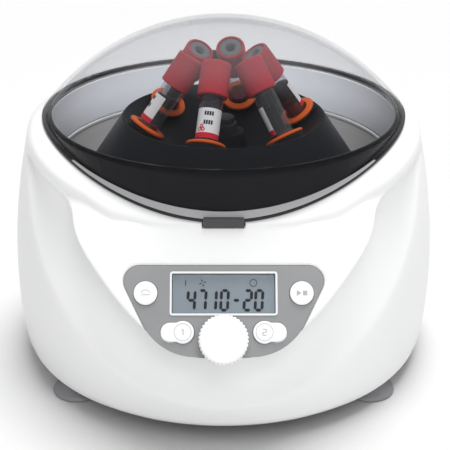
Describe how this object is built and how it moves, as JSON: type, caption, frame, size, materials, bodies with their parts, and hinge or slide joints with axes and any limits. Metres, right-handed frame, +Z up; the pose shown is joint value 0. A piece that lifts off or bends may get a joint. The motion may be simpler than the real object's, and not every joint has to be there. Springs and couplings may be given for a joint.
{
  "type": "laboratory centrifuge",
  "caption": "Bench-top laboratory centrifuge with a hinged smoke-clear domed lid, an angled tube rotor in a steel bowl and a sloping control panel.",
  "frame": {"origin": "middle of the machine's footprint box, on the surface that it stands on", "axes": "+Z up along the rotor axis, -Y towards the control panel, +Y towards the lid hinge, +X to the right seen from the front"},
  "size_m": [0.253, 0.2778, 0.195],
  "materials": {
    "housing_white": "semi-gloss moulded ABS",
    "base_grey": "matte moulded base",
    "panel_grey": "matte silver-grey membrane",
    "key_white": "satin white keys and knob",
    "smoke_clear": "smoke-grey clear polycarbonate",
    "window_clear": "clear window",
    "lcd_blue": "blue-grey liquid crystal",
    "board_green": "printed circuit board",
    "black_plastic": "gloss black plastic",
    "dark_plastic": "matte dark plastic",
    "rotor_black": "satin black rotor",
    "bowl_steel": "brushed stainless",
    "steel": "turned steel",
    "chrome": "plated",
    "zinc": "plain sheet",
    "collar_grey": "light grey moulding",
    "rubber_black": "moulded rubber",
    "rubber_grey": "dark grey suction foot",
    "adapter_orange": "orange adapter",
    "tube_glass": "clear sample tube",
    "cap_red": "ribbed red cap",
    "stopper_grey": "butyl stopper",
    "label_white": "paper label with a red band",
    "blood_red": "dark red sample"
  },
  "bodies": {
    "housing": {"upper_housing": "housing_white", "base_pan": "base_grey", "rear_panel": "base_grey", "control_panel": "panel_grey", "display_frame": "key_white", "display_window": "window_clear", "lcd_module": "lcd_blue", "control_board": "board_green", "key_switches": "black_plastic", "encoder_body": "zinc", "power_board": "board_green", "steel_bowl": "bowl_steel", "bowl_gasket": "rubber_black", "chamber_collar": "collar_grey", "shaft_grommet": "rubber_black", "motor_housing": "zinc", "shaft_bearings": "steel", "motor_plate": "zinc", "motor_dampers": "rubber_black", "suction_feet": "rubber_grey", "chassis_screws": "steel", "hinge_bracket": "dark_plastic", "hinge_pin": "steel", "latch_housing": "dark_plastic", "mains_inlet": "dark_plastic", "inlet_pins": "chrome", "switch_frame": "dark_plastic"},
    "lid": {"lid_dome": "smoke_clear", "lid_rim": "black_plastic", "lid_seal": "rubber_black", "lid_tongue": "smoke_clear", "lid_striker": "chrome", "hinge_arm": "dark_plastic"},
    "rotor": {"motor_shaft": "steel", "rotor_body": "rotor_black", "rotor_nut": "dark_plastic", "tube_adapters": "adapter_orange", "tube_stoppers": "stopper_grey", "tube_labels": "label_white", "blood_samples": "blood_red", "sample_tube_1": "tube_glass", "sample_tube_2": "tube_glass", "sample_tube_3": "tube_glass", "sample_tube_4": "tube_glass", "sample_tube_5": "tube_glass", "sample_tube_6": "tube_glass", "tube_cap_1": "cap_red", "tube_cap_2": "cap_red", "tube_cap_3": "cap_red", "tube_cap_4": "cap_red", "tube_cap_5": "cap_red", "tube_cap_6": "cap_red"},
    "knob": {"control_knob": "key_white", "encoder_shaft": "steel"},
    "door_button": {"door_key": "key_white"},
    "start_button": {"start_key": "key_white"},
    "program_1_button": {"program_key_1": "key_white"},
    "program_2_button": {"program_key_2": "key_white"},
    "mains_rocker": {"power_rocker": "black_plastic"},
    "latch": {"latch_bolt": "steel"}
  },
  "joints": [
    {"name": "lid_hinge", "type": "hinge", "parent": "housing", "child": "lid", "pos_m": [0, 0.1321, 0.1375], "axis": [-1, 0, 0], "range_deg": [0, 78]},
    {"name": "rotor_spin", "type": "hinge", "parent": "housing", "child": "rotor", "pos_m": [0, 0.0196, 0.1], "axis": [0, 0, 1], "continuous": true},
    {"name": "knob_turn", "type": "hinge", "parent": "housing", "child": "knob", "pos_m": [0, -0.12176, 0.06593], "axis": [0, -0.8192, 0.5736], "continuous": true},
    {"name": "door_press", "type": "slide", "parent": "housing", "child": "door_button", "axis": [0, 0.8192, -0.5736], "range_m": [0, 0.0008], "stiffness_N_per_m": 300, "springref_m": -0.001},
    {"name": "start_press", "type": "slide", "parent": "housing", "child": "start_button", "axis": [0, 0.8192, -0.5736], "range_m": [0, 0.0008], "stiffness_N_per_m": 300, "springref_m": -0.001},
    {"name": "program_1_press", "type": "slide", "parent": "housing", "child": "program_1_button", "axis": [0, 0.8192, -0.5736], "range_m": [0, 0.0008], "stiffness_N_per_m": 300, "springref_m": -0.001},
    {"name": "program_2_press", "type": "slide", "parent": "housing", "child": "program_2_button", "axis": [0, 0.8192, -0.5736], "range_m": [0, 0.0008], "stiffness_N_per_m": 300, "springref_m": -0.001},
    {"name": "mains_rock", "type": "hinge", "parent": "housing", "child": "mains_rocker", "pos_m": [0.02, 0.1241, 0.047], "axis": [-1, 0, 0], "range_deg": [0, 12]},
    {"name": "latch_slide", "type": "slide", "parent": "housing", "child": "latch", "axis": [0, 1, 0], "range_m": [0, 0.002]}
  ]
}
